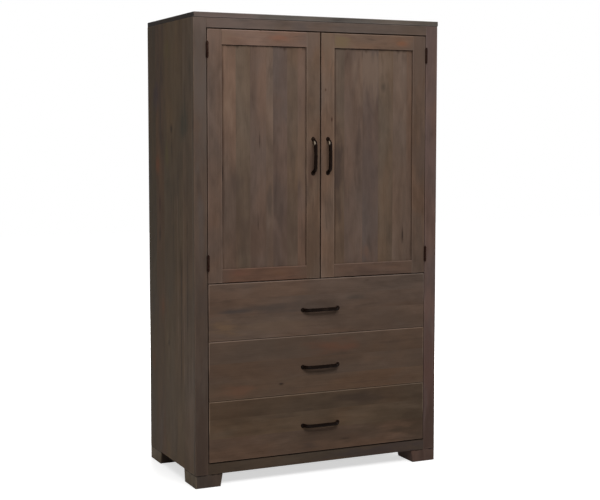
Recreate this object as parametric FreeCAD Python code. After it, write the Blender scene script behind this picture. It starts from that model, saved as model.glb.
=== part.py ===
import FreeCAD, Part
import math
import os

# A stained solid-wood armoire: two inset panel doors over three full-width drawers, on block feet.
# Millimetres, +Z up, doors facing -Y. The origin is on the floor, under the middle of the whole object.

# Case
overall_height = 1829.0
case_width = 1067.0
case_depth = 546.0
top_thickness = 19.0
top_overhang = 5.0
top_ease = 2.5
side_thickness = 19.0
deck_thickness = 19.0
back_thickness = 6.0
dado_depth = 6.0
rabbet_width = 10.0
cable_hole_diameter = 60.0
cable_hole_inset = 200.0
cable_hole_rise = 75.0

# Face frame
stile_width = 53.0
frame_thickness = 22.0
frame_ease = 2.0
top_rail_height = 38.0
bottom_rail_height = 40.0
rear_rail_thickness = 19.0
tenon_length = 25.0
tenon_thickness = 8.0
tenon_shoulder = 6.0

# Feet and the blocks that they are screwed to
foot_height = 51.0
foot_width = 112.0
foot_depth = 132.0
foot_taper = 9.0
foot_ease = 2.0
corner_block_width = 70.0
corner_block_depth = 80.0

# Shelves and shelf pins
shelf_thickness = 19.0
shelf_setback = 40.0
shelf_back_gap = 4.0
shelf_side_gap = 1.5
shelf_ease = 2.0
pin_hole_start = 260.0
pin_hole_pitch = 32.0
pin_hole_count = 14
pin_hole_depth = 9.0
pin_hole_inset = 80.0
pin_shank_diameter = 5.0
pin_fit = 0.05
pin_tab_width = 12.0
pin_tab_length = 10.0
pin_tab_thickness = 3.0
lower_shelf_hole_count = 2
upper_shelf_hole_count = 11

# Doors
side_gap = 3.0
head_gap = 5.0
meeting_gap = 5.0
stop_gap = 0.5
door_stile_width = 59.0
door_top_rail_height = 58.0
door_bottom_rail_height = 52.0
door_ease = 1.5
panel_thickness = 6.0
groove_depth = 10.0
groove_fit = 0.1
panel_float = 1.0

# Door stop with its magnets, and the strikes in the doors
stop_depth = 18.0
stop_drop = 20.0
magnet_diameter = 10.0
magnet_length = 8.0
magnet_inset = 34.0
strike_diameter = 14.0
strike_thickness = 1.5

# Butt hinges
hinge_length = 57.0
hinge_inset = 78.0
knuckle_count = 5
knuckle_diameter = 10.0
knuckle_end_gap = 0.4
knuckle_clearance = 0.5
hinge_pin_diameter = 5.0
hinge_pin_clearance = 0.05
hinge_tip_diameter = 8.5
hinge_tip_height = 4.0
hinge_tip_end_share = 0.5
leaf_width = 18.0
leaf_thickness = 1.8
leaf_gap = 0.5

# Drawers
bottom_gap = 5.0
drawer_gap = 2.0
door_foot_gap = 4.0
top_drawer_height = 223.0
middle_drawer_height = 232.0
bottom_drawer_height = 238.0
drawer_ease = 1.5
box_head_gap = 36.0
box_back_gap = 58.0
box_rise = 22.0
box_side_thickness = 13.0
box_back_thickness = 13.0
box_back_drop = 10.0
box_dado_depth = 5.0
box_bottom_thickness = 6.0
box_bottom_rise = 12.0
box_groove_depth = 6.0
tail_count = 4
tail_length = 14.0
tail_root_share = 0.5
tail_tip_share = 0.72

# Telescopic slides, each of three nested steel channels
slide_thickness = 12.7
slide_height = 45.0
slide_end_inset = 10.0
slide_rise = 70.0
slide_steel = 1.2
slide_race_gap = 0.35
slide_face_gap = 1.5
spacer_height = 60.0

# Bow pulls
door_pull_centres = 132.0
drawer_pull_centres = 152.0
pull_projection = 32.0
pull_bar_diameter = 14.0
pull_corner_radius = 16.0
pull_bow_angle = 5.0
pull_lean_angle = 30.0
pull_foot_diameter = 18.0
pull_foot_height = 10.0
pull_flare_share = 0.28
door_pull_inset = 30.0
drawer_pull_drop = 10.0

# Added to cutting shapes so that they pass through a face, and the tolerance for finding an edge in a plane
overrun = 5.0
touch = 0.01
full_circle = 360

# Places that the pieces share
half_width = case_width / 2
front_y = (pull_projection - case_depth) / 2
rear_y = front_y + case_depth
frame_back_y = front_y + frame_thickness
back_front_y = rear_y - back_thickness
rear_rail_y = back_front_y - rear_rail_thickness
case_top_z = overall_height - top_thickness
side_inner_x = half_width - side_thickness
opening_half = half_width - stile_width
door_thickness = frame_thickness - stop_gap
door_back_y = front_y + door_thickness
door_head_z = case_top_z - top_rail_height
drawer_foot_z = foot_height + bottom_rail_height
bottom_z = drawer_foot_z - deck_thickness
front_half = opening_half - side_gap

drawer_heights = {"bottom": bottom_drawer_height, "middle": middle_drawer_height, "top": top_drawer_height}
drawer_base = {}
next_z = drawer_foot_z + bottom_gap
for drawer_name, drawer_height in drawer_heights.items():
    drawer_base[drawer_name] = next_z
    next_z += drawer_height + drawer_gap

door_base_z = drawer_base["top"] + top_drawer_height + door_foot_gap
door_top_z = door_head_z - head_gap
deck_z = door_base_z - (door_foot_gap + deck_thickness) / 2
deck_top_z = deck_z + deck_thickness
hands = {"left": -1, "right": 1}

os.makedirs("parts", exist_ok=True)


def save(name, *solids):
    shape = solids[0] if len(solids) == 1 else Part.makeCompound(list(solids))
    shape.exportStep(f"parts/{name}.step")


def block(xs, ys, zs):
    corner = FreeCAD.Vector(min(xs), min(ys), min(zs))
    return Part.makeBox(abs(xs[1] - xs[0]), abs(ys[1] - ys[0]), abs(zs[1] - zs[0]), corner)


def rod(diameter, length, start, direction):
    return Part.makeCylinder(diameter / 2, length, FreeCAD.Vector(*start), FreeCAD.Vector(*direction))


def ease(shape, radius, plane_y, axes):
    """Round the straight edges that lie in one plane of constant Y and run along the named axes."""
    picked = []
    for edge in shape.Edges:
        bounds = edge.BoundBox
        in_plane = abs(bounds.YMin - plane_y) < touch and abs(bounds.YMax - plane_y) < touch
        if in_plane and any(getattr(bounds, axis + "Length") > touch for axis in axes):
            picked.append(edge)
    return shape.makeFillet(radius, picked)


# Top board: one glued-up board with all its edges eased, a little proud of the face frame.
top_board = block((-half_width, half_width), (front_y - top_overhang, rear_y), (case_top_z, overall_height))
save("top_panel", top_board.makeFillet(top_ease, top_board.Edges))


# Side panels: slabs with a dado for each floor, a rabbet for the back and two rows of shelf-pin holes.
def pin_hole_z(index):
    return deck_top_z + pin_hole_start + index * pin_hole_pitch


pin_rows = (frame_back_y + pin_hole_inset, back_front_y - pin_hole_inset)
floors = {"deck": (deck_z, back_front_y), "bottom_panel": (bottom_z, rear_rail_y)}
for side_name, hand in hands.items():
    inner_x = hand * side_inner_x
    panel = block((inner_x, hand * half_width), (frame_back_y, rear_y), (foot_height, case_top_z))
    cuts = []
    for floor_z, floor_end_y in floors.values():
        dado_xs = (inner_x - hand * overrun, inner_x + hand * dado_depth)
        dado_ys = (frame_back_y - overrun, floor_end_y)
        cuts.append(block(dado_xs, dado_ys, (floor_z, floor_z + deck_thickness)))
    rabbet_xs = (inner_x - hand * overrun, inner_x + hand * rabbet_width)
    rabbet_zs = (foot_height - overrun, case_top_z + overrun)
    cuts.append(block(rabbet_xs, (back_front_y, rear_y + overrun), rabbet_zs))
    for row_y in pin_rows:
        for index in range(pin_hole_count):
            mouth = (inner_x - hand * overrun, row_y, pin_hole_z(index))
            hole_diameter = pin_shank_diameter + 2 * pin_fit
            cuts.append(rod(hole_diameter, pin_hole_depth + overrun, mouth, (hand, 0, 0)))
    save(f"{side_name}_side_panel", panel.cut(Part.makeCompound(cuts)))

# Face frame: two stiles mortised for the rails' stub tenons and let in for the hinge leaves.
hinge_levels = (door_base_z + hinge_inset, door_top_z - hinge_inset)
hinge_y = front_y - knuckle_diameter / 2 - knuckle_clearance
hinge_x = opening_half - side_gap / 2
leaf_face = leaf_gap / 2
leaf_seat = leaf_face + leaf_thickness
tenon_y = front_y + (frame_thickness - tenon_thickness) / 2
rail_spans = {"bottom": (foot_height, drawer_foot_z), "top": (door_head_z, case_top_z)}


def leaf_pocket(hand, side, level):
    """The shallow space for one hinge leaf in the edge of the frame (side 1) or of the door (side -1)."""
    xs = (hand * hinge_x, hand * (hinge_x + side * leaf_seat))
    zs = (level - hinge_length / 2, level + hinge_length / 2)
    return block(xs, (front_y - overrun, front_y + leaf_width), zs)


def rail_tenon(hand, span):
    xs = (hand * (opening_half - overrun), hand * (opening_half + tenon_length))
    zs = (span[0] + tenon_shoulder, span[1] - tenon_shoulder)
    return block(xs, (tenon_y, tenon_y + tenon_thickness), zs)


for side_name, hand in hands.items():
    stile_xs = (hand * opening_half, hand * half_width)
    stile = block(stile_xs, (front_y, frame_back_y), (foot_height, case_top_z))
    stile = ease(stile, frame_ease, front_y, "Z")
    cuts = [rail_tenon(hand, span) for span in rail_spans.values()]
    cuts += [leaf_pocket(hand, 1, level) for level in hinge_levels]
    save(f"{side_name}_stile", stile.cut(Part.makeCompound(cuts)))

for rail_name, span in rail_spans.items():
    rail = block((-opening_half, opening_half), (front_y, frame_back_y), span)
    tenons = [rail_tenon(hand, span) for hand in hands.values()]
    save(f"{rail_name}_rail", rail.multiFuse(tenons).removeSplitter())

# Floors: the deck parts the cupboard from the drawers, the bottom panel closes the case above the feet.
floor_xs = (-side_inner_x - dado_depth, side_inner_x + dado_depth)
for floor_name, (floor_z, floor_end_y) in floors.items():
    save(floor_name, block(floor_xs, (frame_back_y, floor_end_y), (floor_z, floor_z + deck_thickness)))
rear_rail_ys = (rear_rail_y, back_front_y)
save("rear_rail", block((-side_inner_x, side_inner_x), rear_rail_ys, (foot_height, drawer_foot_z)))

# Back panel: thin sheet in the side panels' rabbets, with two bored cable outlets just above the deck.
back_half = side_inner_x + rabbet_width
back = block((-back_half, back_half), (back_front_y, rear_y), (foot_height, case_top_z))
for hand in hands.values():
    hole_x = hand * (half_width - cable_hole_inset)
    hole_start = (hole_x, back_front_y - overrun, deck_top_z + cable_hole_rise)
    back = back.cut(rod(cable_hole_diameter, back_thickness + 2 * overrun, hole_start, (0, 1, 0)))
save("back_panel", back)


# Feet: blocks flush with the outside of the case, tapering on their two inner faces.
def frustum(low, high):
    """A solid between two level rectangles, each given as (x pair, y pair, z)."""
    rings = []
    for xs, ys, z in (low, high):
        rings.append([FreeCAD.Vector(x, y, z) for x, y in
                      ((xs[0], ys[0]), (xs[1], ys[0]), (xs[1], ys[1]), (xs[0], ys[1]))])
    loops = list(rings)
    for here in range(len(rings[0])):
        following = (here + 1) % len(rings[0])
        loops.append([rings[0][here], rings[0][following], rings[1][following], rings[1][here]])
    faces = [Part.Face(Part.makePolygon(loop + loop[:1])) for loop in loops]
    solid = Part.Solid(Part.makeShell(faces))
    solid.fix(touch, touch, touch)
    return solid


def foot(hand, outer_y, inward):
    outer_x = hand * half_width
    bottom = ((outer_x, outer_x - hand * (foot_width - foot_taper)),
              (outer_y, outer_y + inward * (foot_depth - foot_taper)), 0)
    top = ((outer_x, outer_x - hand * foot_width), (outer_y, outer_y + inward * foot_depth), foot_height)
    shape = frustum(bottom, top)
    return ease(shape, foot_ease, outer_y, "XZ")


save("front_feet", *[foot(hand, front_y, 1) for hand in hands.values()])
save("rear_feet", *[foot(hand, rear_y, -1) for hand in hands.values()])

corner_blocks = []
for hand in hands.values():
    block_xs = (hand * side_inner_x, hand * (side_inner_x - corner_block_width))
    for start_y, end_y in ((frame_back_y, frame_back_y + corner_block_depth),
                           (rear_rail_y - corner_block_depth, rear_rail_y)):
        corner_blocks.append(block(block_xs, (start_y, end_y), (foot_height, bottom_z)))
save("corner_blocks", *corner_blocks)

# Shelves, each carried by four pins: a round shank in the side panel and a flat tab under the shelf.
shelf_half = side_inner_x - shelf_side_gap
shelf_ys = (frame_back_y + shelf_setback, back_front_y - shelf_back_gap)
shelf_pins = []
for shelf_name, holes_below in {"lower": lower_shelf_hole_count, "upper": upper_shelf_hole_count}.items():
    tab_top_z = pin_hole_z(holes_below) + pin_shank_diameter / 2
    shelf = block((-shelf_half, shelf_half), shelf_ys, (tab_top_z, tab_top_z + shelf_thickness))
    save(f"{shelf_name}_shelf", ease(shelf, shelf_ease, shelf_ys[0], "X"))
    for hand in hands.values():
        for row_y in pin_rows:
            tab_xs = (hand * side_inner_x, hand * (side_inner_x - pin_tab_length))
            tab_ys = (row_y - pin_tab_width / 2, row_y + pin_tab_width / 2)
            tab = block(tab_xs, tab_ys, (tab_top_z - pin_tab_thickness, tab_top_z))
            root = (hand * (side_inner_x - pin_tab_length), row_y, pin_hole_z(holes_below))
            shank = rod(pin_shank_diameter, pin_tab_length + pin_hole_depth - pin_fit, root, (hand, 0, 0))
            shelf_pins.append(tab.fuse(shank).removeSplitter())
save("shelf_pins", *shelf_pins)

# Door stop: a strip under the top board, behind the top rail, with one magnet for each door.
meeting_x = meeting_gap / 2
magnet_x = meeting_x + magnet_inset
stop_low_z = door_head_z - stop_drop
magnet_z = (stop_low_z + door_top_z) / 2
stop_ys = (frame_back_y, frame_back_y + stop_depth)
stop = block((-opening_half, opening_half), stop_ys, (stop_low_z, case_top_z))
magnets = []
for hand in hands.values():
    magnet_start = (hand * magnet_x, frame_back_y, magnet_z)
    magnets.append(rod(magnet_diameter, magnet_length, magnet_start, (0, 1, 0)))
    socket_start = (hand * magnet_x, frame_back_y - overrun, magnet_z)
    socket = rod(magnet_diameter + 2 * pin_fit, magnet_length + overrun, socket_start, (0, 1, 0))
    stop = stop.cut(socket)
save("door_stop", stop)
save("catch_magnets", *magnets)

# Hinges: two leaves with alternate knuckles on one tipped pin. Odd knuckles are the frame's.
knuckle_pitch = (hinge_length + knuckle_end_gap) / knuckle_count
knuckle_height = knuckle_pitch - knuckle_end_gap


def hinge_leaf(hand, side, level):
    """One leaf: side 1 is screwed to the frame, side -1 to the door."""
    base_z = level - hinge_length / 2
    plate_xs = (hand * (hinge_x + side * leaf_face), hand * (hinge_x + side * leaf_seat))
    pieces = [block(plate_xs, (front_y, front_y + leaf_width), (base_z, base_z + hinge_length))]
    for index in range(0 if side > 0 else 1, knuckle_count, 2):
        knuckle_z = base_z + index * knuckle_pitch
        pieces.append(rod(knuckle_diameter, knuckle_height, (hand * hinge_x, hinge_y, knuckle_z), (0, 0, 1)))
        pieces.append(block(plate_xs, (hinge_y, front_y), (knuckle_z, knuckle_z + knuckle_height)))
    bore_diameter = hinge_pin_diameter + 2 * hinge_pin_clearance
    bore_start = (hand * hinge_x, hinge_y, base_z - overrun)
    bore = rod(bore_diameter, hinge_length + 2 * overrun, bore_start, (0, 0, 1))
    return pieces[0].multiFuse(pieces[1:]).removeSplitter().cut(bore)


def hinge_pin(hand, level):
    foot_z = level - hinge_length / 2
    head_z = level + hinge_length / 2
    pieces = [rod(hinge_pin_diameter, hinge_length, (hand * hinge_x, hinge_y, foot_z), (0, 0, 1))]
    for tip_z, direction in ((foot_z, -1), (head_z, 1)):
        pieces.append(Part.makeCone(hinge_tip_diameter / 2, hinge_tip_diameter / 2 * hinge_tip_end_share,
                                    hinge_tip_height, FreeCAD.Vector(hand * hinge_x, hinge_y, tip_z),
                                    FreeCAD.Vector(0, 0, direction)))
    return pieces[0].multiFuse(pieces[1:]).removeSplitter()


hinges = [(hand, level) for hand in hands.values() for level in hinge_levels]
save("frame_hinge_leaves", *[hinge_leaf(hand, 1, level) for hand, level in hinges])
save("hinge_pins", *[hinge_pin(hand, level) for hand, level in hinges])


# Bow pull: a round bar that crosses in a shallow arch between two legs, which lean out and widen to the face.
def bow_pull(middle, centres, upright):
    """A pull with its feet on the face at Y of middle, lying along X, or along Z when upright."""
    bow = math.radians(pull_bow_angle)
    lean = math.radians(pull_lean_angle)
    half = centres / 2
    crown = pull_projection - pull_bar_diameter / 2
    bow_rise = math.tan(bow / 2)
    corner_run = pull_corner_radius * (math.cos(lean) - math.sin(bow))
    corner_rise = pull_corner_radius * (math.cos(bow) - math.sin(lean))
    leg = crown - corner_rise - (half - corner_run) * bow_rise
    leg /= math.cos(lean) - math.sin(lean) * bow_rise

    def point(along, out):
        offset = FreeCAD.Vector(0, -out, along) if upright else FreeCAD.Vector(along, -out, 0)
        return middle + offset

    def on_leg(hand, distance, aside=0):
        """A point so far up the middle line of one leg, and so far to its outer side."""
        inward = distance * math.sin(lean) - aside * math.cos(lean)
        return point(hand * (half - inward), distance * math.cos(lean) + aside * math.sin(lean))

    def corner(hand, turn):
        """A point on the bend, where the bar has turned so far from the straight way out."""
        inward = leg * math.sin(lean) + pull_corner_radius * (math.cos(lean) - math.cos(turn))
        out = leg * math.cos(lean) + pull_corner_radius * (math.sin(turn) - math.sin(lean))
        return point(hand * (half - inward), out)

    last_turn = math.pi / 2 - bow
    middle_turn = (lean + last_turn) / 2
    root = -pull_foot_diameter
    path = [
        Part.LineSegment(on_leg(-1, root), on_leg(-1, leg)),
        Part.Arc(on_leg(-1, leg), corner(-1, middle_turn), corner(-1, last_turn)),
        Part.Arc(corner(-1, last_turn), point(0, crown), corner(1, last_turn)),
        Part.Arc(corner(1, last_turn), corner(1, middle_turn), on_leg(1, leg)),
        Part.LineSegment(on_leg(1, leg), on_leg(1, root)),
    ]
    wire = Part.Wire([piece.toShape() for piece in path])
    neck_radius = pull_bar_diameter / 2
    rim_radius = pull_foot_diameter / 2
    flare_radius = neck_radius + (rim_radius - neck_radius) * pull_flare_share
    section = Part.makeCircle(neck_radius, on_leg(-1, root), on_leg(-1, leg) - on_leg(-1, root))
    pieces = [wire.makePipeShell([Part.Wire(section)], True, False)]
    for hand in hands.values():
        rim = on_leg(hand, 0, rim_radius)
        neck = on_leg(hand, pull_foot_height, neck_radius)
        flare = Part.Arc(rim, on_leg(hand, pull_foot_height * pull_flare_share, flare_radius), neck)
        corners = [neck, on_leg(hand, pull_foot_height), on_leg(hand, root),
                   on_leg(hand, root, rim_radius), rim]
        sides = [flare] + [Part.LineSegment(*ends) for ends in zip(corners, corners[1:])]
        profile = Part.Face(Part.Wire([side.toShape() for side in sides]))
        pieces.append(profile.revolve(on_leg(hand, 0), on_leg(hand, leg) - on_leg(hand, 0), full_circle))
    reach = half + pull_foot_diameter
    behind = block((middle.x - reach, middle.x + reach), (middle.y, middle.y + reach),
                   (middle.z - reach, middle.z + reach))
    return pieces[0].multiFuse(pieces[1:]).removeSplitter().cut(behind)


# Doors: stiles and rails grooved all along their inner edges, the rails' stub tenons filling the groove at
# the corners, and a flat panel floating in it.
groove_y = front_y + (door_thickness - panel_thickness) / 2
groove_ys = (groove_y - groove_fit, groove_y + panel_thickness + groove_fit)
door_ys = (front_y, door_back_y)
door_rails = {"bottom": (door_base_z, door_base_z + door_bottom_rail_height),
              "top": (door_top_z - door_top_rail_height, door_top_z)}
panel_low_z = door_rails["bottom"][1]
panel_high_z = door_rails["top"][0]
for side_name, hand in hands.items():
    inner_xs = (hand * (meeting_x + door_stile_width), hand * (front_half - door_stile_width))
    outer_xs = {"meeting": hand * meeting_x, "hinge": hand * front_half}
    groove_xs = (inner_xs[0] - hand * groove_depth, inner_xs[1] + hand * groove_depth)
    groove_zs = (panel_low_z - groove_depth, panel_high_z + groove_depth)
    groove = block(groove_xs, groove_ys, (door_base_z - overrun, door_top_z + overrun))
    for (stile_name, outer_x), inner_x in zip(outer_xs.items(), inner_xs):
        stile = block((outer_x, inner_x), door_ys, (door_base_z, door_top_z))
        stile = ease(stile, door_ease, front_y, "Z").cut(groove)
        if stile_name == "hinge":
            stile = stile.cut(Part.makeCompound([leaf_pocket(hand, -1, level) for level in hinge_levels]))
        if stile_name == "meeting":
            seat_start = (hand * magnet_x, door_back_y - strike_thickness, magnet_z)
            seat = rod(strike_diameter + 2 * pin_fit, strike_thickness + overrun, seat_start, (0, 1, 0))
            stile = stile.cut(seat)
            strike = rod(strike_diameter, strike_thickness, seat_start, (0, 1, 0))
        save(f"{side_name}_door_{stile_name}_stile", stile)
    for rail_name, span in door_rails.items():
        rail = ease(block(inner_xs, door_ys, span), door_ease, front_y, "X")
        rail = rail.cut(block(groove_xs, groove_ys, groove_zs))
        tenon_z = span[0] if rail_name == "bottom" else span[0] + groove_depth
        tenon_zs = (tenon_z, tenon_z + span[1] - span[0] - groove_depth)
        rail = rail.fuse(block(groove_xs, groove_ys, tenon_zs)).removeSplitter()
        save(f"{side_name}_door_{rail_name}_rail", rail)
    panel_xs = (groove_xs[0] + hand * panel_float, groove_xs[1] - hand * panel_float)
    panel_zs = (groove_zs[0] + panel_float, groove_zs[1] - panel_float)
    save(f"{side_name}_door_panel", block(panel_xs, (groove_y, groove_y + panel_thickness), panel_zs))
    save(f"{side_name}_door_strike", strike)
    save(f"{side_name}_door_hinge_leaves", *[hinge_leaf(hand, -1, level) for level in hinge_levels])
    pull_z = (door_base_z + door_top_z) / 2
    pull_middle = FreeCAD.Vector(hand * (meeting_x + door_pull_inset), front_y, pull_z)
    save(f"{side_name}_door_pull", bow_pull(pull_middle, door_pull_centres, True))


# Slides: a fixed channel on a wooden spacer, a middle channel running in it and the drawer's own channel.
nest = slide_steel + slide_race_gap
box_rear_y = back_front_y - box_back_gap
slide_ys = (frame_back_y, box_rear_y - slide_end_inset)
slide_wall_x = opening_half
slide_drawer_x = opening_half - slide_thickness
slide_lip_x = slide_drawer_x + slide_face_gap
middle_height = slide_height - 2 * nest
runner_height = middle_height - 2 * nest


def channel(hand, web_x, lip_x, height, middle_z):
    toward_lip = math.copysign(1, lip_x - web_x)
    outer = block((hand * web_x, hand * lip_x), slide_ys, (middle_z - height / 2, middle_z + height / 2))
    hollow_xs = (hand * (web_x + toward_lip * slide_steel), hand * (lip_x + toward_lip * overrun))
    hollow_half = height / 2 - slide_steel
    hollow_ys = (slide_ys[0] - overrun, slide_ys[1] + overrun)
    return outer.cut(block(hollow_xs, hollow_ys, (middle_z - hollow_half, middle_z + hollow_half)))


# Drawers: front and sides dovetailed together, the back in dadoes, and a thin bottom slid in from behind.
box_half = slide_drawer_x
box_inner = box_half - box_side_thickness
box_back_ys = (box_rear_y - 2 * box_back_thickness, box_rear_y - box_back_thickness)
spacers = []
case_members = []
for drawer_name, drawer_height in drawer_heights.items():
    base_z = drawer_base[drawer_name]
    box_z = base_z + box_rise
    box_top_z = base_z + drawer_height - box_head_gap
    tail_pitch = (box_top_z - box_z) / tail_count
    bottom_low_z = box_z + box_bottom_rise
    bottom_high_z = bottom_low_z + box_bottom_thickness
    bottom_half = box_inner + box_groove_depth
    box_bottom = block((-bottom_half, bottom_half), (door_back_y - box_groove_depth, box_rear_y),
                       (bottom_low_z, bottom_high_z))
    back_half_width = box_inner + box_dado_depth
    box_back_zs = (bottom_high_z, box_top_z - box_back_drop)
    box_back = block((-back_half_width, back_half_width), box_back_ys, box_back_zs)
    box_sides = []
    for hand in hands.values():
        side_xs = (hand * box_inner, hand * box_half)
        side = block(side_xs, (door_back_y, box_rear_y), (box_z, box_top_z))
        for index in range(tail_count):
            tail_z = box_z + (index + 1 / 2) * tail_pitch
            root_half = tail_pitch * tail_root_share / 2
            tip_half = tail_pitch * tail_tip_share / 2
            corners = ((door_back_y, -root_half), (door_back_y, root_half),
                       (door_back_y - tail_length, tip_half), (door_back_y - tail_length, -tip_half))
            outline = [FreeCAD.Vector(min(side_xs), y, tail_z + rise) for y, rise in corners]
            tail = Part.Face(Part.makePolygon(outline + outline[:1]))
            side = side.fuse(tail.extrude(FreeCAD.Vector(box_side_thickness, 0, 0)))
        side = side.removeSplitter().cut(Part.makeCompound([box_bottom, box_back]))
        box_sides.append(side)
    front = block((-front_half, front_half), door_ys, (base_z, base_z + drawer_height))
    front = ease(front, drawer_ease, front_y, "XZ")
    front = front.cut(Part.makeCompound(box_sides)).cut(box_bottom)
    pull_z = base_z + drawer_height / 2 - drawer_pull_drop
    slide_z = box_z + slide_rise
    runners = []
    middles = []
    for hand in hands.values():
        case_members.append(channel(hand, slide_wall_x, slide_lip_x, slide_height, slide_z))
        middles.append(channel(hand, slide_wall_x - nest, slide_lip_x, middle_height, slide_z))
        runners.append(channel(hand, slide_drawer_x, slide_wall_x - 2 * nest, runner_height, slide_z))
        spacer_zs = (slide_z - spacer_height / 2, slide_z + spacer_height / 2)
        spacers.append(block((hand * opening_half, hand * side_inner_x), slide_ys, spacer_zs))
    save(f"{drawer_name}_drawer_front", front)
    save(f"{drawer_name}_drawer_sides", *box_sides)
    save(f"{drawer_name}_drawer_back", box_back)
    save(f"{drawer_name}_drawer_bottom", box_bottom)
    pull_middle = FreeCAD.Vector(0, front_y, pull_z)
    save(f"{drawer_name}_drawer_pull", bow_pull(pull_middle, drawer_pull_centres, False))
    save(f"{drawer_name}_drawer_runners", *runners)
    save(f"{drawer_name}_slide_middles", *middles)
save("slide_spacers", *spacers)
save("slide_case_members", *case_members)
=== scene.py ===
import math

import bmesh
import bpy
from mathutils import Matrix, Vector


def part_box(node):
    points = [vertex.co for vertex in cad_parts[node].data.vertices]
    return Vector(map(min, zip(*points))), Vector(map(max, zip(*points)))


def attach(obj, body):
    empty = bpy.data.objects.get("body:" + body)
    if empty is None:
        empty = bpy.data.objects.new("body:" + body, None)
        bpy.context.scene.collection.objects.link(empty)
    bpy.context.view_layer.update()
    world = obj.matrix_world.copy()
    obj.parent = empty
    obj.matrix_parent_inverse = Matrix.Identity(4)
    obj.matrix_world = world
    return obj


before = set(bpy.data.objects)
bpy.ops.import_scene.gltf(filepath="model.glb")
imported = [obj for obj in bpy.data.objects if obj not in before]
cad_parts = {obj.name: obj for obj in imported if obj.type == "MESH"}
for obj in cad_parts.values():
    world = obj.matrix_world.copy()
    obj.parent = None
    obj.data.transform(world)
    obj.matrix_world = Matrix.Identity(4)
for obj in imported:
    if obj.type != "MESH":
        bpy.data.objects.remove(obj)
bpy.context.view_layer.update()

# Side panels: wide slabs glued up from upright maple staves, stained a dark grey-brown under a satin clear
# coat. The stain takes unevenly: mineral streaks stay cool and dark, clear sapwood turns warm, and end grain
# drinks the most. Both panels are dadoed for the floors and bored for the shelf pins.


class Socket:
    """One output in a finish's node tree. Sums of sockets and numbers add Math nodes to that tree."""

    def __init__(self, link):
        self.link = link

    def of(self, output):
        return Socket(self.link.node.outputs[output])

    def node(self, kind, settings, inputs):
        """Add a node: its settings go first, then the values or links of its sockets, by name or number."""
        tree = self.link.id_data
        made = tree.nodes.new(kind)
        for setting, value in settings.items():
            if setting == "stops":
                ramp = made.color_ramp.elements
                while len(ramp) < len(value):
                    ramp.new(1)
                while len(ramp) > len(value):
                    ramp.remove(ramp[-1])
                for stop, (position, colour) in zip(ramp, value):
                    stop.position = position
                    stop.color = colour
                made.color_ramp.interpolation = "CONSTANT"
            else:
                setattr(made, setting, value)
        for name, value in inputs.items():
            if isinstance(name, int):
                target = made.inputs[name]
            else:
                target = next(socket for socket in made.inputs if socket.name == name and socket.enabled)
            if isinstance(value, Socket):
                tree.links.new(value.link, target)
            else:
                target.default_value = value
        return Socket(next(socket for socket in made.outputs if socket.enabled))

    def math(self, operation, first, second):
        return self.node("ShaderNodeMath", {"operation": operation}, {0: first, 1: second})

    def __add__(self, other):
        return self.math("ADD", self, other)

    def __radd__(self, other):
        return self.math("ADD", other, self)

    def __sub__(self, other):
        return self.math("SUBTRACT", self, other)

    def __rsub__(self, other):
        return self.math("SUBTRACT", other, self)

    def __mul__(self, other):
        return self.math("MULTIPLY", self, other)

    def __rmul__(self, other):
        return self.math("MULTIPLY", other, self)

    def __abs__(self):
        return self.node("ShaderNodeMath", {"operation": "ABSOLUTE"}, {0: self})

    def rise(self, start, end):
        """0 up to start and 1 from end, in a smooth step."""
        return self.node("ShaderNodeMapRange", {"interpolation_type": "SMOOTHSTEP"},
                         {"Value": self, "From Min": start, "From Max": end})

    def vector(self, operation, *values):
        return self.node("ShaderNodeVectorMath", {"operation": operation}, dict(enumerate(values)))

    def tinted(self, colour, amount):
        """This colour, mixed with another by an amount from 0 to 1."""
        return self.node("ShaderNodeMix", {"data_type": "RGBA"}, {"Factor": amount, "A": self, "B": colour})

    def scaled(self, amount):
        return self.node("ShaderNodeVectorMath", {"operation": "SCALE"}, {0: self, "Scale": amount})

    def shade(self, colour):
        """One plain colour, made darker or paler by this amount."""
        return self.node("ShaderNodeVectorMath", {"operation": "SCALE"}, {0: colour[:3], "Scale": self})

    def length(self):
        return self.vector("LENGTH", self).of("Value")

    def reach(self, middle, half_sizes):
        """How far this place lies from a middle, where 1 is the half size in each direction."""
        shape = [1 / half for half in half_sizes]
        return self.vector("MULTIPLY_ADD", self, shape, [-a * b for a, b in zip(middle, shape)]).length()

    def bump(self, strength, distance):
        """A surface that this height raises."""
        return self.node("ShaderNodeBump", {}, {"Strength": strength, "Distance": distance, "Height": self})

    def noise(self, stretch, detail, distortion=0.0):
        """Cloudy noise with so many waves to the metre along each axis."""
        return self.node("ShaderNodeTexNoise", {},
                         {"Vector": self.vector("MULTIPLY", self, stretch), "Scale": 1.0, "Detail": detail,
                          "Distortion": distortion})


def seen(red, green, blue, alpha=1.0):
    """A colour as it looks on a screen, 0 to 255, in the linear values that a shader takes."""
    linear = [((value / 255 + 0.055) / 1.055) ** 2.4 if value > 10 else value / 255 / 12.92
              for value in (red, green, blue)]
    return (*linear, alpha)


def bare_finish(name, **plain):
    """A new material with its shader's plain values set, and the place on the piece as a socket."""
    material = bpy.data.materials.new(name)
    material.use_nodes = True
    tree = material.node_tree
    shader = tree.nodes["Principled BSDF"]
    for socket_name, value in plain.items():
        shader.inputs[socket_name.replace("_", " ")].default_value = value
    return material, shader, Socket(tree.nodes.new("ShaderNodeTexCoord").outputs["Object"])


def feed(shader, **varying):
    """Link what changes over the surface to the shader."""
    for socket_name, value in varying.items():
        shader.id_data.links.new(value.link, shader.inputs[socket_name.replace("_", " ")])


def dress(node, material):
    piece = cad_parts[node]
    piece.data.materials.clear()
    piece.data.materials.append(material)


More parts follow.
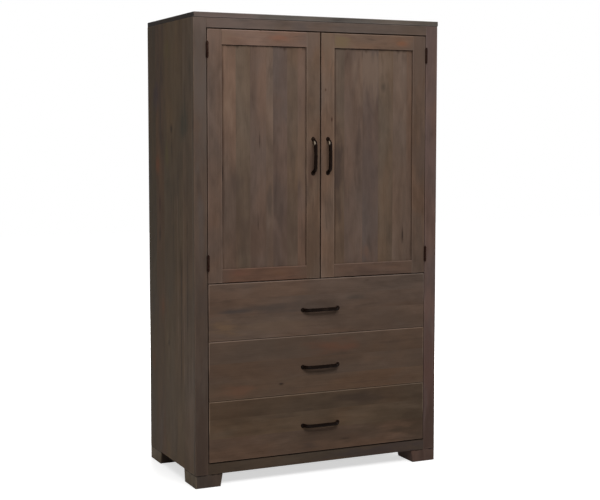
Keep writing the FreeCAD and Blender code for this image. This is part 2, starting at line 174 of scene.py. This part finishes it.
def planks(node, along, across, boards, marks=(), streak=seen(52, 45, 42), figure=1.0, spread=1.0,
           end_shade=0.42, sheen=0.56, arris_highlight=0.5, groove_shade=0.0):
    """Solid wood, glued up from boards: grain runs along one axis, boards lie side by side across another.

    boards are (share of the width where the board starts, colour). marks are knots, streaks, clouds and
    painted
    shade lines: (share along, share across, half length, half width, colour, strength), with the lengths in
    metres.
    figure is how strong the wood's figure is, and spread how broad. The argument after sheen is how strong a
    painted highlight runs along the arrises, most of all on an upper one, standing for light caught by the
    eased edges. The last argument is how much of the rim lies in a groove: painted shade darkens the rim just
    inside it, standing for the groove's shadow, but not at the foot and less at the right.
    """
    low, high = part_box(node)
    axes = [along, across, next(axis for axis in "XYZ" if axis not in (along, across))]
    start = Vector([low["XYZ".index(axis)] for axis in axes])
    span = Vector([high["XYZ".index(axis)] for axis in axes]) - start
    per_metre = Vector([1 / length for length in span])
    material, shader, place = bare_finish(f"{node}_wood", Specular_IOR_Level=0.03)
    split = place.node("ShaderNodeSeparateXYZ", {}, {0: place})
    turned = split.node("ShaderNodeCombineXYZ", {},
                        {index: split.of(axis) for index, axis in enumerate(axes)})
    share = turned.vector("MULTIPLY_ADD", turned, per_metre, [-a * b for a, b in zip(start, per_metre)])
    share_along = share.node("ShaderNodeSeparateXYZ", {}, {0: share})
    share_across = share_along.of("Y")
    golden = 0.618
    stops = [(begin, (*colour[:3], (golden * (index + 1)) % 1))
             for index, (begin, colour) in enumerate(boards)]
    board = share_across.node("ShaderNodeValToRGB", {"stops": stops}, {0: share_across})
    apart_in_log = (9.1, 2.7, 7.3)
    grain = turned.vector("MULTIPLY_ADD", board.of("Alpha"), apart_in_log, turned)

    swirl = grain.scaled(1 / spread)
    broad = swirl.noise((5, 18, 18), 3, 0.7)
    mottle = swirl.noise((18, 48, 48), 2, 0.4)
    cloud = swirl.noise((3.5, 9, 9), 3, 0.6)
    mineral = swirl.noise((5, 34, 34), 3, 0.9).rise(0.58, 0.78)
    lines = grain.noise((6, 300, 300), 2)
    fleck = grain.noise((50, 700, 700), 1).rise(0.55, 0.75)
    shade = 1 + figure * ((broad - 0.5) * 0.8 + (mottle - 0.5) * 0.4) + (lines - 0.5) * 0.25 - fleck * 0.08
    colour = board.scaled(shade)
    warmed = colour.vector("MULTIPLY", colour, (1.10, 0.98, 0.88))
    cooled = colour.vector("MULTIPLY", colour, (0.92, 0.99, 1.05))
    colour = colour.tinted(warmed, cloud.rise(0.45, 0.65) * 0.6)
    colour = colour.tinted(cooled, cloud.rise(0.48, 0.32) * 0.6)
    colour = colour.tinted(streak, mineral * min(0.35 * figure, 0.7))
    ragged = grain.noise((9, 40, 40), 3)
    for at_along, at_across, half_length, half_width, mark_colour, strength in marks:
        middle = (start[0] + at_along * span[0], start[1] + at_across * span[1], 0)
        reach = turned.reach(middle, (half_length, half_width, math.inf))
        mask = (reach + (ragged - 0.5) * 2.0).rise(1.0, 0.1)
        colour = colour.tinted(mark_colour, mask * strength)

    off_middle = share.vector("ABSOLUTE", share.vector("SUBTRACT", share, (0.5, 0.5, 0.5)))
    depth = off_middle.vector("MULTIPLY_ADD", off_middle, -span, span / 2)
    depth = depth.node("ShaderNodeSeparateXYZ", {}, {0: depth})
    rim = depth.math("MINIMUM", depth, depth.of("Y"))
    # Painted shade: the rim just inside a groove is painted darker, standing for the groove's shadow; none at
    # the foot and less at the right.
    if groove_shade:
        shadow_width = 0.008
        above_foot = share_along.rise(0.03, 0.06)
        at_right = share_across.rise(0.90, 0.95)
        groove_shadow = rim.rise(groove_shade + shadow_width, groove_shade) * (above_foot * (1 - 0.75 * at_right))
        colour = colour.tinted(colour.scaled(0.4), groove_shadow)
    # Painted highlight: the arrises are painted paler, most of all an upper one, standing for light caught by
    # the eased edges.
    full_highlight_width, highlight_width, fray = 0.0020, 0.0045, 0.0012
    arris = depth.math("MAXIMUM", rim, depth.of("Z")) + (ragged - 0.5) * fray
    edge_highlight = arris.rise(highlight_width, full_highlight_width)
    upper_highlight = 0.15 + share_across.rise(0.4, 0.6) * 0.85 if across == "Z" else 0.4
    highlighted = colour.vector("MULTIPLY", colour, (2.2, 2.35, 2.5))
    colour = colour.tinted(highlighted, edge_highlight * (upper_highlight * arris_highlight))

    facing = Socket(place.link.node.outputs["Normal"])
    grain_axis = [float(axis == along) for axis in "XYZ"]
    end = abs(facing.vector("DOT_PRODUCT", facing, grain_axis).of("Value")).rise(0.6, 0.9)
    colour = colour.tinted(colour.scaled(end_shade), end)
    relief = lines * 0.6 + broad * 0.4 - fleck
    feed(shader, Base_Color=colour, Roughness=sheen + (broad - 0.5) * 0.18 + fleck * 0.10,
         Normal=relief.bump(0.12, 0.0004))
    dress(node, material)


taupe = seen(94, 78, 69)
grey = seen(89, 76, 69)
olive = seen(91, 77, 65)
tan = seen(102, 84, 73)
umber = seen(84, 67, 57)
knot = seen(42, 33, 29)

left_marks = [
    (0.76, 0.45, 0.030, 0.022, knot, 0.8),
    (0.71, 0.44, 0.080, 0.014, seen(54, 43, 35), 0.7),
    (0.52, 0.73, 0.050, 0.020, knot, 0.7),
    (0.27, 0.54, 0.028, 0.020, knot, 0.8),
    (0.59, 0.73, 0.060, 0.014, seen(64, 38, 32), 0.7),
    (0.84, 0.80, 0.080, 0.060, seen(66, 52, 54), 0.7),
    (0.77, 0.17, 0.110, 0.060, seen(66, 62, 50), 0.7),
    (0.94, 0.53, 0.060, 0.050, seen(98, 84, 54), 0.6),
    (0.70, 0.56, 0.070, 0.030, seen(102, 88, 54), 0.6),
    (0.68, 0.78, 0.060, 0.035, seen(122, 76, 50), 0.7),
    (0.35, 0.67, 0.070, 0.035, seen(122, 74, 48), 0.6),
    (0.21, 0.90, 0.060, 0.035, seen(112, 72, 48), 0.6),
    (0.35, 0.56, 0.070, 0.012, seen(128, 100, 76), 0.6),
    (0.45, 0.32, 0.420, 0.012, seen(128, 104, 85), 0.8),
    (0.42, 0.19, 0.500, 0.012, seen(128, 104, 86), 0.9),
    (0.40, 0.25, 0.550, 0.012, seen(54, 42, 33), 0.8),
    (0.36, 0.11, 0.500, 0.011, seen(58, 45, 37), 0.8),
    (0.50, 0.41, 0.300, 0.012, seen(56, 43, 34), 0.7),
    (0.12, 0.05, 0.350, 0.060, seen(116, 96, 80), 0.7),
    (0.22, 0.75, 0.500, 0.250, seen(76, 60, 40), 0.6),
    (0.46, 0.50, 0.280, 0.220, seen(80, 63, 43), 0.5),
]
left_staves = [(0, seen(98, 81, 65)), (0.19, seen(95, 78, 60)), (0.40, seen(96, 79, 60)),
               (0.62, seen(87, 68, 52)), (0.81, seen(75, 61, 46))]
right_staves = [(0, olive), (0.23, taupe), (0.44, umber), (0.63, tan), (0.84, grey)]
planks("left_side_panel", "Z", "Y", left_staves, left_marks, figure=2.0, spread=2.2)
planks("right_side_panel", "Z", "Y", right_staves, figure=1.6, spread=1.5)

# Face frame: two stiles and two rails, planed from single boards, tenoned together and glued to the case.
# The left stile has cool grey patches, and its outer edge is stained to match the side panel.
planks("left_stile", "Z", "X", [(0, seen(84, 70, 61))],
       [(0.85, 0.5, 0.40, 0.06, seen(86, 76, 70), 0.7), (0.55, 0.5, 0.16, 0.02, seen(84, 76, 72), 0.4),
        (0.39, 0.5, 0.14, 0.05, seen(72, 62, 56), 0.6), (0.06, 0.5, 0.36, 0.06, seen(74, 60, 52), 0.7),
        (1.00, 0.5, 0.06, 0.06, seen(97, 83, 76), 0.7), (0.5, 0.0, 2.0, 0.002, seen(102, 85, 70), 0.9)],
       figure=0.8, arris_highlight=0.25)
planks("right_stile", "Z", "X", [(0, seen(94, 77, 71))],
       [(0.70, 0.5, 0.08, 0.06, seen(103, 83, 77), 0.6), (0.35, 0.5, 0.10, 0.06, seen(106, 84, 76), 0.7),
        (0.14, 0.5, 0.38, 0.06, seen(92, 68, 61), 0.7), (0.04, 0.5, 0.20, 0.06, seen(72, 58, 51), 0.7)],
       figure=0.8)
# The top rail's last mark is a painted shadow along its upper edge, under the top board's overhang.
planks("top_rail", "X", "Z", [(0, seen(89, 77, 70))],
       [(0.12, 0.5, 0.20, 0.05, seen(99, 84, 77), 0.7), (0.42, 0.5, 0.08, 0.04, seen(78, 70, 67), 0.6),
        (0.45, 0.5, 0.018, 0.004, knot, 0.6), (0.88, 0.5, 0.16, 0.05, seen(86, 73, 64), 0.6),
        (0.50, 1.0, 2.00, 0.005, knot, 0.5)])
planks("bottom_rail", "X", "Z", [(0, seen(81, 68, 57))], [(0.82, 0.5, 0.36, 0.06, seen(68, 59, 58), 0.7)],
       figure=0.8, arris_highlight=0.0)

# Floors and rear rail: the deck over the drawers and the bottom panel are glued-up boards let into the sides'
# dadoes. The rear rail carries the back of the bottom panel.
planks("deck", "X", "Y", [(0, taupe), (0.2, tan), (0.45, olive), (0.7, taupe)])
planks("bottom_panel", "X", "Y", [(0, umber), (0.3, taupe), (0.65, olive)])
planks("rear_rail", "X", "Z", [(0, umber)])

# Back panel: thin veneered sheet in the side panels' rabbets, held by small cross-head screws down both edges
# and along the deck and the rear rail. Two plain round holes above the deck let leads out.
planks("back_panel", "Z", "X", [(0, umber), (0.17, taupe), (0.33, olive), (0.52, taupe), (0.68, umber),
                                (0.84, taupe)], figure=0.8)


def screws(name, body, places, outward, diameter, dome):
    """Cross-head screws, all in one piece: turned heads, each with a tapered cross punched in it."""
    radius = diameter / 2
    arm, half_arm = radius * 0.56, radius * 0.16
    corner = math.degrees(math.atan2(half_arm, arm))
    turns = [quarter + step for quarter in range(0, 360, 90) for step in (-corner, 0, corner, 25, 45, 65)]
    turn_between = math.radians(37)

    def cross(turn):
        """How far the punched cross reaches at this angle."""
        turn = abs((turn + 45) % 90 - 45)
        if turn <= corner + 1e-6:
            return arm / math.cos(math.radians(turn))
        return half_arm / math.sin(math.radians(turn))

    rings = [
        [(radius, 0)] * len(turns),
        [(radius * 0.97, dome * 0.45)] * len(turns),
        [(radius * 0.80, dome * 0.85)] * len(turns),
        [(cross(turn) * 1.06, dome) for turn in turns],
        [(cross(turn), dome * 0.92) for turn in turns],
        [(cross(turn) * 0.45, dome * 0.2) for turn in turns],
    ]
    lay = Vector((0, 0, 1)).rotation_difference(Vector(outward)).to_matrix().to_4x4()
    made = bmesh.new()
    for count, place in enumerate(places):
        stand = Matrix.Translation(place) @ lay @ Matrix.Rotation(count * turn_between, 4, "Z")
        loops = []
        for ring in rings:
            loops.append([made.verts.new(stand @ Vector((reach * math.cos(math.radians(turn)),
                                                         reach * math.sin(math.radians(turn)), height)))
                          for turn, (reach, height) in zip(turns, ring)])
        for inner, outer in zip(loops[1:], loops):
            for here in range(len(turns)):
                there = (here + 1) % len(turns)
                made.faces.new((outer[here], outer[there], inner[there], inner[here]))
        made.faces.new(loops[-1])
        made.faces.new(reversed(loops[0]))
    mesh = bpy.data.meshes.new(name)
    made.to_mesh(mesh)
    made.free()
    piece = bpy.data.objects.new(name, mesh)
    bpy.context.scene.collection.objects.link(piece)
    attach(piece, body)
    return piece


def plated(name, colour, roughness, along):
    """Bright plated steel, drawn or rolled along one axis."""
    material, shader, place = bare_finish(name, Metallic=1.0)
    drawn = [900.0, 900.0, 900.0]
    drawn["XYZ".index(along)] = 12.0
    brushed = place.noise(drawn, 2)
    stain = place.noise((22, 22, 22), 3, 0.5)
    tone = (0.86 + brushed * 0.20).shade(colour)
    tone = tone.tinted(tone.vector("MULTIPLY", tone, (1.03, 0.98, 0.88)), stain.rise(0.5, 0.7) * 0.6)
    feed(shader, Base_Color=tone, Roughness=roughness + (brushed - 0.5) * 0.2 + stain * 0.06,
         Normal=brushed.bump(0.08, 0.0002))
    return material


zinc = plated("zinc_plate", seen(196, 198, 202), 0.30, "Y")
back_low, back_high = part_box("back_panel")
deck_low, deck_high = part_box("deck")
edge_inset, end_inset, rail_inset = 0.005, 0.03, 0.02
screw_rows, screw_columns = 9, 6
row_pitch = (back_high.z - back_low.z - 2 * end_inset) / (screw_rows - 1)
column_pitch = (back_high.x - back_low.x) / screw_columns
back_places = []
for row in range(screw_rows):
    height = back_low.z + end_inset + row * row_pitch
    back_places += [(x, back_high.y, height) for x in (back_low.x + edge_inset, back_high.x - edge_inset)]
for column in range(screw_columns):
    x = back_low.x + (column + 0.5) * column_pitch
    for height in (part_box("rear_rail")[1].z - rail_inset, (deck_low.z + deck_high.z) / 2):
        back_places.append((x, back_high.y, height))
back_screws = screws("back_screws", "case", back_places, (0, 1, 0), diameter=0.0065, dome=0.0012)
back_screws.data.materials.append(zinc)

# Feet: solid blocks with two tapered inner faces, flush with the case and stained to match, screwed up into
# bare poplar corner blocks glued inside the case.
# The second foot mark is a painted shade line along each foot's top, where it meets the case.
foot_marks = [
    (0.5, 0.0, 0.10, 0.005, seen(118, 103, 84), 0.9),
    (1.0, 0.5, 0.006, 6.0, seen(24, 18, 15), 1.0),
]
for node in ("front_feet", "rear_feet"):
    planks(node, "Z", "X", [(0, seen(78, 67, 60)), (0.5, seen(91, 72, 64))], foot_marks, figure=0.8)
poplar = seen(166, 146, 112)
planks("corner_blocks", "X", "Y", [(0, poplar)], streak=seen(120, 112, 86), end_shade=0.7, sheen=0.6)

# Top board: boards glued edge to edge with all the arrises eased, standing a little proud of the face frame.
# Its front edge is paler, and its ends are nearly black end grain.
top_boards = [(0, seen(88, 82, 77)), (0.02, grey), (0.22, taupe), (0.45, olive), (0.70, grey)]
planks("top_panel", "X", "Y", top_boards, [(0.12, 0.0, 0.20, 0.03, seen(100, 84, 80), 0.6)], end_shade=0.25)

# Shelves: glued boards with a softened front edge, lying loose on nickel-plated pins. Each pin has a round
# shank in the side panel and a flat tab under the shelf.
planks("lower_shelf", "X", "Y", [(0, taupe), (0.24, olive), (0.5, tan), (0.76, taupe)])
planks("upper_shelf", "X", "Y", [(0, olive), (0.3, taupe), (0.55, umber), (0.8, taupe)])
nickel = plated("nickel_plate", seen(206, 200, 188), 0.24, "X")
dress("shelf_pins", nickel)

# Door stop: a strip under the top board that both doors close against, with a nickel-plated magnet let into
# it for each door.
planks("door_stop", "X", "Z", [(0, umber)])
dress("catch_magnets", nickel)

# Butt hinges: rolled steel leaves in dark oil-rubbed bronze, on a pin with tapered tips. Three countersunk
# screws hold each leaf in its shallow mortise.


def bronze_finish(name, tone, highlight_spots=()):
    """Oiled bronze of one tone. The spots are (middle, half sizes) of a painted highlight in bright bare
    metal.
    """
    material, shader, place = bare_finish(name, Specular_IOR_Level=0.03)
    mottle = place.noise((60, 60, 60), 4, 0.5)
    fine = place.noise((900, 900, 900), 2)
    rubbed = place.noise((25, 25, 25), 3).rise(0.55, 0.75)
    colour = (0.75 + mottle * 0.5).shade(tone)
    colour = colour.tinted(seen(84, 56, 42), rubbed * 0.08)
    bare = rubbed * 0.02
    for middle, half_sizes in highlight_spots:
        reach = place.reach(middle, half_sizes)
        bare = bare.math("MAXIMUM", bare, (reach + (mottle - 0.5) * 0.5).rise(1.0, 0.4))
    # Painted highlight: the spots are painted pale and metallic, as bare metal catching the light.
    colour = colour.tinted(seen(176, 160, 140), bare)
    feed(shader, Base_Color=colour, Metallic=bare, Roughness=0.18 + mottle * 0.16 - rubbed * 0.05,
         Normal=fine.bump(0.06, 0.0002))
    return material


bronze = bronze_finish("oil_rubbed_bronze", seen(38, 21, 15))
for node in ("frame_hinge_leaves", "hinge_pins", "left_door_hinge_leaves", "right_door_hinge_leaves"):
    dress(node, bronze)
leaf_reach = 0.009
leaf_gap = 0.00025
half_hinge = 0.0285
screw_pitch = 0.018
for side, hand in (("left", -1), ("right", 1)):
    low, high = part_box(f"{side}_door_hinge_leaves")
    hinge_x = (low.x + high.x) / 2
    heights = []
    for level in (low.z + half_hinge, high.z - half_hinge):
        heights += [level + step * screw_pitch for step in (-1, 0, 1)]
    for body, leaf, facing in ((f"{side}_door", f"{side}_door", hand), ("case", f"{side}_frame", -hand)):
        places = [(hinge_x - facing * leaf_gap, high.y - leaf_reach, height) for height in heights]
        leaf_screws = screws(f"{leaf}_hinge_screws", body, places, (facing, 0, 0),
                             diameter=0.0056, dome=0.0002)
        leaf_screws.data.materials.append(bronze)

# Doors: stiles and rails grooved on their inner edges around a flat panel that floats free. The panels are
# glued up from narrow staves, chosen for colour rather than matched. Their rims are painted darker as shade
# from the grooves, most of all as a painted shadow under the top rails.
panel_staves = {
    "left": [(0, seen(101, 83, 72)), (0.18, seen(93, 78, 66)), (0.34, taupe), (0.52, seen(99, 82, 71)),
             (0.60, seen(90, 76, 69)), (0.76, seen(92, 77, 66)), (0.88, seen(99, 80, 69))],
    "right": [(0, seen(93, 78, 67)), (0.15, taupe), (0.37, seen(90, 76, 69)), (0.56, seen(93, 78, 66)),
              (0.74, seen(100, 83, 72)), (0.91, seen(98, 80, 69))],
}
# Each panel's first mark is a painted shadow line just inside its left edge, where the stile shades it.
panel_marks = {
    "left": [
        (0.50, 0.042, 0.90, 0.007, seen(62, 46, 38), 0.6),
        (0.72, 0.10, 0.11, 0.030, seen(120, 99, 84), 0.6),
        (0.57, 0.45, 0.04, 0.004, knot, 0.55),
        (0.20, 0.43, 0.05, 0.005, knot, 0.65),
        (0.30, 0.56, 0.09, 0.022, seen(72, 62, 56), 0.6),
        (0.38, 0.20, 0.06, 0.035, seen(74, 63, 57), 0.5),
        (0.08, 0.22, 0.05, 0.060, seen(70, 58, 51), 0.5),
        (0.12, 0.50, 0.16, 0.260, seen(79, 63, 54), 0.5),
        (0.30, 0.18, 0.22, 0.100, seen(76, 63, 55), 0.5),
        (0.52, 0.92, 0.20, 0.040, seen(110, 88, 71), 0.5),
        (0.44, 0.035, 0.04, 0.004, knot, 0.8),
    ],
    "right": [
        (0.50, 0.042, 0.90, 0.007, seen(62, 46, 38), 0.6),
        (0.88, 0.45, 0.16, 0.110, seen(112, 94, 81), 0.7),
        (0.82, 0.62, 0.03, 0.014, seen(66, 58, 51), 0.6),
        (0.13, 0.87, 0.05, 0.005, knot, 0.75),
        (0.50, 0.45, 0.30, 0.040, seen(80, 68, 63), 0.5),
        (0.06, 0.42, 0.04, 0.030, seen(102, 79, 67), 0.6),
        (0.45, 0.07, 0.20, 0.045, seen(66, 55, 50), 0.8),
        (0.93, 0.68, 0.09, 0.050, seen(110, 93, 80), 0.6),
    ],
}
stile_tones = {
    "left": {"hinge": seen(93, 76, 66), "meeting": seen(95, 78, 66)},
    "right": {"hinge": seen(91, 74, 63), "meeting": seen(101, 83, 71)},
}
# The long dark line on each meeting stile's edge is painted shade from the gap between the doors.
stile_marks = {
    "left": {
        "hinge": [(0.98, 0.5, 0.10, 0.06, seen(106, 86, 75), 0.8)],
        "meeting": [(0.98, 0.5, 0.10, 0.06, seen(98, 82, 73), 0.7),
                    (0.12, 0.5, 0.25, 0.08, seen(82, 66, 55), 0.6), (0.5, 1.0, 2.0, 0.0025, knot, 0.45),
                    (0.48, 0.35, 0.12, 0.03, seen(82, 62, 53), 0.6)],
    },
    "right": {
        "hinge": [(0.92, 0.5, 0.25, 0.08, seen(93, 78, 69), 0.7),
                  (0.50, 0.5, 0.15, 0.06, seen(84, 70, 62), 0.6)],
        "meeting": [(0.98, 0.5, 0.10, 0.06, seen(104, 88, 75), 0.7), (0.5, 0.0, 2.0, 0.0025, knot, 0.45),
                    (0.77, 0.35, 0.010, 0.007, seen(58, 36, 27), 0.85),
                    (0.65, 0.8, 0.015, 0.006, seen(58, 38, 30), 0.85)],
    },
}
rail_tones = {
    "left": {"top": seen(108, 87, 76), "bottom": seen(96, 71, 58)},
    "right": {"top": seen(103, 83, 70), "bottom": seen(92, 74, 64)},
}
rail_marks = {
    "left": {"top": [(0.66, 0.6, 0.06, 0.02, seen(120, 82, 66), 0.6)],
             "bottom": [(0.22, 0.6, 0.06, 0.02, seen(106, 74, 62), 0.5),
                        (0.66, 0.5, 0.09, 0.02, seen(104, 76, 58), 0.4)]},
    "right": {"top": [(0.84, 0.5, 0.05, 0.02, seen(122, 80, 58), 0.6),
                      (0.08, 0.5, 0.06, 0.03, seen(106, 90, 66), 0.6)],
              "bottom": [(0.40, 0.5, 0.08, 0.02, seen(84, 66, 58), 0.5)]},
}
rail_end_tones = {
    "left": {"top": (seen(108, 88, 75), seen(99, 82, 73)), "bottom": (seen(90, 72, 62), seen(90, 72, 61))},
    "right": {"top": (seen(104, 87, 74), seen(95, 79, 69)), "bottom": (seen(97, 79, 68), seen(92, 74, 63))},
}
# Painted shadow: a dark band across the top of each panel, under the door's top rail.
head_shadow = (1.0, 0.5, 0.022, 6.0, seen(40, 28, 22), 0.65)
for side in ("left", "right"):
    door = f"{side}_door"
    for stile in ("hinge", "meeting"):
        planks(f"{door}_{stile}_stile", "Z", "X", [(0, stile_tones[side][stile])], stile_marks[side][stile])
    for rail in ("top", "bottom"):
        ends = [(at, 0.5, 0.09, 0.08, tone, 0.8) for at, tone in enumerate(rail_end_tones[side][rail])]
        planks(f"{door}_{rail}_rail", "X", "Z", [(0, rail_tones[side][rail])],
               ends + rail_marks[side][rail], arris_highlight=0.4)
    in_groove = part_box(f"{door}_panel")[1].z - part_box(f"{door}_top_rail")[0].z
    planks(f"{door}_panel", "Z", "X", panel_staves[side], panel_marks[side] + [head_shadow], figure=1.1,
           spread=1.5, groove_shade=in_groove)
    dress(f"{door}_strike", nickel)

# Drawer slides: three nested zinc-plated channels on each side of each drawer, on spacers of bare poplar that
# bring them out to the edge of the frame.
planks("slide_spacers", "Y", "Z", [(0, poplar)], streak=seen(120, 112, 86), end_shade=0.7, sheen=0.6)
for node in ("slide_case_members", "top_slide_middles", "middle_slide_middles", "bottom_slide_middles"):
    dress(node, zinc)

# Drawer boxes: pale maple sides dovetailed to the front, the back let into dadoes, and a thin birch plywood
# bottom slid in from behind under the back.
maple = seen(206, 176, 136)
birch = seen(212, 186, 148)
for drawer in ("top_drawer", "middle_drawer", "bottom_drawer"):
    for node, along in ((f"{drawer}_sides", "Y"), (f"{drawer}_back", "X")):
        planks(node, along, "Z", [(0, maple)], streak=seen(176, 140, 100), figure=0.45, end_shade=0.7)
    planks(f"{drawer}_bottom", "X", "Y", [(0, birch)], streak=seen(190, 158, 116), figure=0.4, end_shade=0.75)
    dress(f"{drawer}_runners", zinc)

# Drawer fronts: slabs of two or three boards glued edge to edge, lying along the drawer, with all the front
# arrises eased.
drawer_boards = {
    "top": [(0, seen(94, 77, 66)), (0.42, seen(91, 75, 65)), (0.72, seen(92, 76, 66))],
    "middle": [(0, seen(93, 75, 62)), (0.30, seen(89, 73, 62)), (0.62, seen(87, 71, 60))],
    "bottom": [(0, seen(95, 77, 65)), (0.38, seen(93, 77, 63)), (0.70, seen(83, 67, 54))],
}
drawer_marks = {
    "top": [
        (0.10, 0.50, 0.11, 0.012, seen(66, 60, 58), 0.8),
        (0.26, 0.52, 0.28, 0.030, seen(72, 63, 58), 0.7),
        (0.28, 0.20, 0.26, 0.035, seen(104, 85, 70), 0.5),
        (0.86, 0.15, 0.32, 0.060, seen(83, 68, 58), 0.5),
        (0.68, 0.62, 0.10, 0.014, seen(70, 63, 58), 0.5),
        (0.72, 0.93, 0.02, 0.004, knot, 0.5),
        (0.09, 0.22, 0.10, 0.040, seen(116, 92, 70), 0.5),
    ],
    "middle": [
        (0.32, 0.20, 0.016, 0.007, knot, 0.85),
        (0.56, 0.78, 0.14, 0.045, seen(100, 70, 56), 0.7),
        (0.12, 0.15, 0.12, 0.030, seen(108, 78, 62), 0.6),
    ],
    "bottom": [
        (0.62, 0.16, 0.025, 0.005, knot, 0.6),
        (0.70, 0.84, 0.20, 0.030, seen(64, 52, 45), 0.6),
        (0.45, 0.12, 0.06, 0.030, seen(66, 58, 54), 0.5),
        (0.86, 0.45, 0.30, 0.080, seen(80, 65, 51), 0.6),
        (1.00, 0.30, 0.16, 0.200, seen(66, 54, 44), 0.6),
        (0.60, 0.24, 0.40, 0.035, seen(78, 64, 54), 0.5),
    ],
}
# The last number for each drawer is how strong the painted highlight on its arrises is.
for drawer, figure, arris_highlight in (("top", 1.0, 0.65), ("middle", 0.7, 0.9), ("bottom", 1.0, 1.1)):
    planks(f"{drawer}_drawer_front", "X", "Z", drawer_boards[drawer], drawer_marks[drawer], figure=figure,
           spread=1.4, arris_highlight=arris_highlight)

# Bow pulls: cast in one piece and oiled nearly black, with legs that lean out and widen to the face. Two
# screws from behind hold each one, and the door pulls carry a painted highlight of bright bare metal at the
# upper bend.
bend_aside, bend_behind, bend_drop = 0.006, 0.006, 0.020
highlight_size = (0.0035, 0.010, 0.014)
highlight_spots = []
for body in ("left_door", "right_door"):
    low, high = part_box(f"{body}_pull")
    bend = ((low.x + high.x) / 2 - bend_aside, low.y + bend_behind, high.z - bend_drop)
    highlight_spots.append((bend, highlight_size))
dark_bronze = bronze_finish("dark_oiled_bronze", seen(20, 11, 7), highlight_spots)
door_fixing = ("meeting_stile", Vector((0, 0, 0.066)))
drawer_fixing = ("front", Vector((0.076, 0, 0)))
pull_fixings = {"left_door": door_fixing, "right_door": door_fixing, "top_drawer": drawer_fixing,
                "middle_drawer": drawer_fixing, "bottom_drawer": drawer_fixing}
for body, (back, half_centres) in pull_fixings.items():
    dress(f"{body}_pull", dark_bronze)
    low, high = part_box(f"{body}_pull")
    middle = (low + high) / 2
    middle.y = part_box(f"{body}_{back}")[1].y
    places = (middle - half_centres, middle + half_centres)
    pull_screws = screws(f"{body}_pull_screws", body, places, (0, 1, 0), diameter=0.0085, dome=0.0024)
    pull_screws.data.materials.append(nickel)

# Studio: a wide pale floor and white surroundings, which look white to the camera and in polished metal but
# throw only a little light back, so that the floor keeps a soft shadow under the case. One soft box lights
# the front, and two more fill the right side and the back.
floor_reach = 12.0
floor_drop = 0.0005
shadow_reach, white_reach = 0.8, 2.6
near_glow = 0.62
floor_mesh = bpy.data.meshes.new("floor")
floor_mesh.from_pydata([(-floor_reach, -floor_reach, -floor_drop), (floor_reach, -floor_reach, -floor_drop),
                        (floor_reach, floor_reach, -floor_drop), (-floor_reach, floor_reach, -floor_drop)],
                       [], [(0, 1, 2, 3)])
floor = bpy.data.objects.new("floor", floor_mesh)
bpy.context.scene.collection.objects.link(floor)


def shown_rays(tree):
    """1 for the rays that show the surroundings: those from the camera, and through gloss and glass."""
    ray = Socket(tree.nodes.new("ShaderNodeLightPath").outputs["Is Camera Ray"])
    return ray + ray.of("Is Glossy Ray") + ray.of("Is Transmission Ray")


floor_material = bpy.data.materials.new("pale_floor")
floor_material.use_nodes = True
floor_tree = floor_material.node_tree
floor_tree.nodes.remove(floor_tree.nodes["Principled BSDF"])
shown = shown_rays(floor_tree)
place = Socket(floor_tree.nodes.new("ShaderNodeTexCoord").outputs["Object"])
far = place.length().rise(shadow_reach, white_reach)
paint = (0.4 + shown * 0.5).shade((1, 1, 1))
glow = (shown * (near_glow + far * (1 - near_glow))).shade((1, 1, 1))
shadowed = shown.node("ShaderNodeBsdfDiffuse", {}, {"Color": paint})
white = shown.node("ShaderNodeEmission", {}, {"Color": glow, "Strength": 1.0})
lit = shown.node("ShaderNodeAddShader", {}, {0: shadowed, 1: white})
floor_tree.links.new(lit.link, floor_tree.nodes["Material Output"].inputs["Surface"])
floor_mesh.materials.append(floor_material)

world = bpy.data.worlds.new("studio")
bpy.context.scene.world = world
world.use_nodes = True
world_tree = world.node_tree
sky = world_tree.nodes["Background"]
shown = shown_rays(world_tree)
ambient = 0.26
world_tree.links.new((ambient + shown * (1 - ambient)).link, sky.inputs["Strength"])
sky.inputs["Color"].default_value = (1, 1, 1, 1)


def lamp(name, place, target, size, watts):
    """A soft box that faces a point."""
    light = bpy.data.lights.new(name, "AREA")
    light.shape = "RECTANGLE"
    light.size, light.size_y = size
    light.energy = watts
    holder = bpy.data.objects.new(name, light)
    holder.location = place
    holder.rotation_mode = "QUATERNION"
    holder.rotation_quaternion = (Vector(target) - Vector(place)).to_track_quat("-Z", "Y")
    bpy.context.scene.collection.objects.link(holder)


lamp("key", (-0.4, -2.5, 2.5), (0, -0.25, 1.0), (2.0, 1.2), 57)
lamp("right_fill", (3.4, 0.5, 2.0), (0.5, 0.0, 0.9), (2.2, 2.2), 85)
lamp("rear_fill", (1.0, 3.8, 2.6), (0.1, 0.3, 0.9), (1.8, 2.2), 120)

# Camera: at the height of a standing viewer's chest, off to the left, with a slight downward shift as the
# photograph has.
camera_place = Vector((-2.194, -4.779, 1.371))
camera_pan = math.radians(24.952)
camera_tilt = math.radians(-4.267)
picture_width = 600
focal_pixels = 1265.4
shift_pixels = -22
camera = bpy.data.cameras.new("camera")
camera.sensor_width = 36.0
camera.lens = focal_pixels / picture_width * camera.sensor_width
camera.shift_y = shift_pixels / picture_width
viewer = bpy.data.objects.new("camera", camera)
viewer.location = camera_place
gaze = Vector((math.sin(camera_pan) * math.cos(camera_tilt), math.cos(camera_pan) * math.cos(camera_tilt),
               math.sin(camera_tilt)))
viewer.rotation_mode = "QUATERNION"
viewer.rotation_quaternion = gaze.to_track_quat("-Z", "Y")
bpy.context.scene.collection.objects.link(viewer)
bpy.context.scene.camera = viewer
bpy.context.scene.view_settings.view_transform = "Standard"
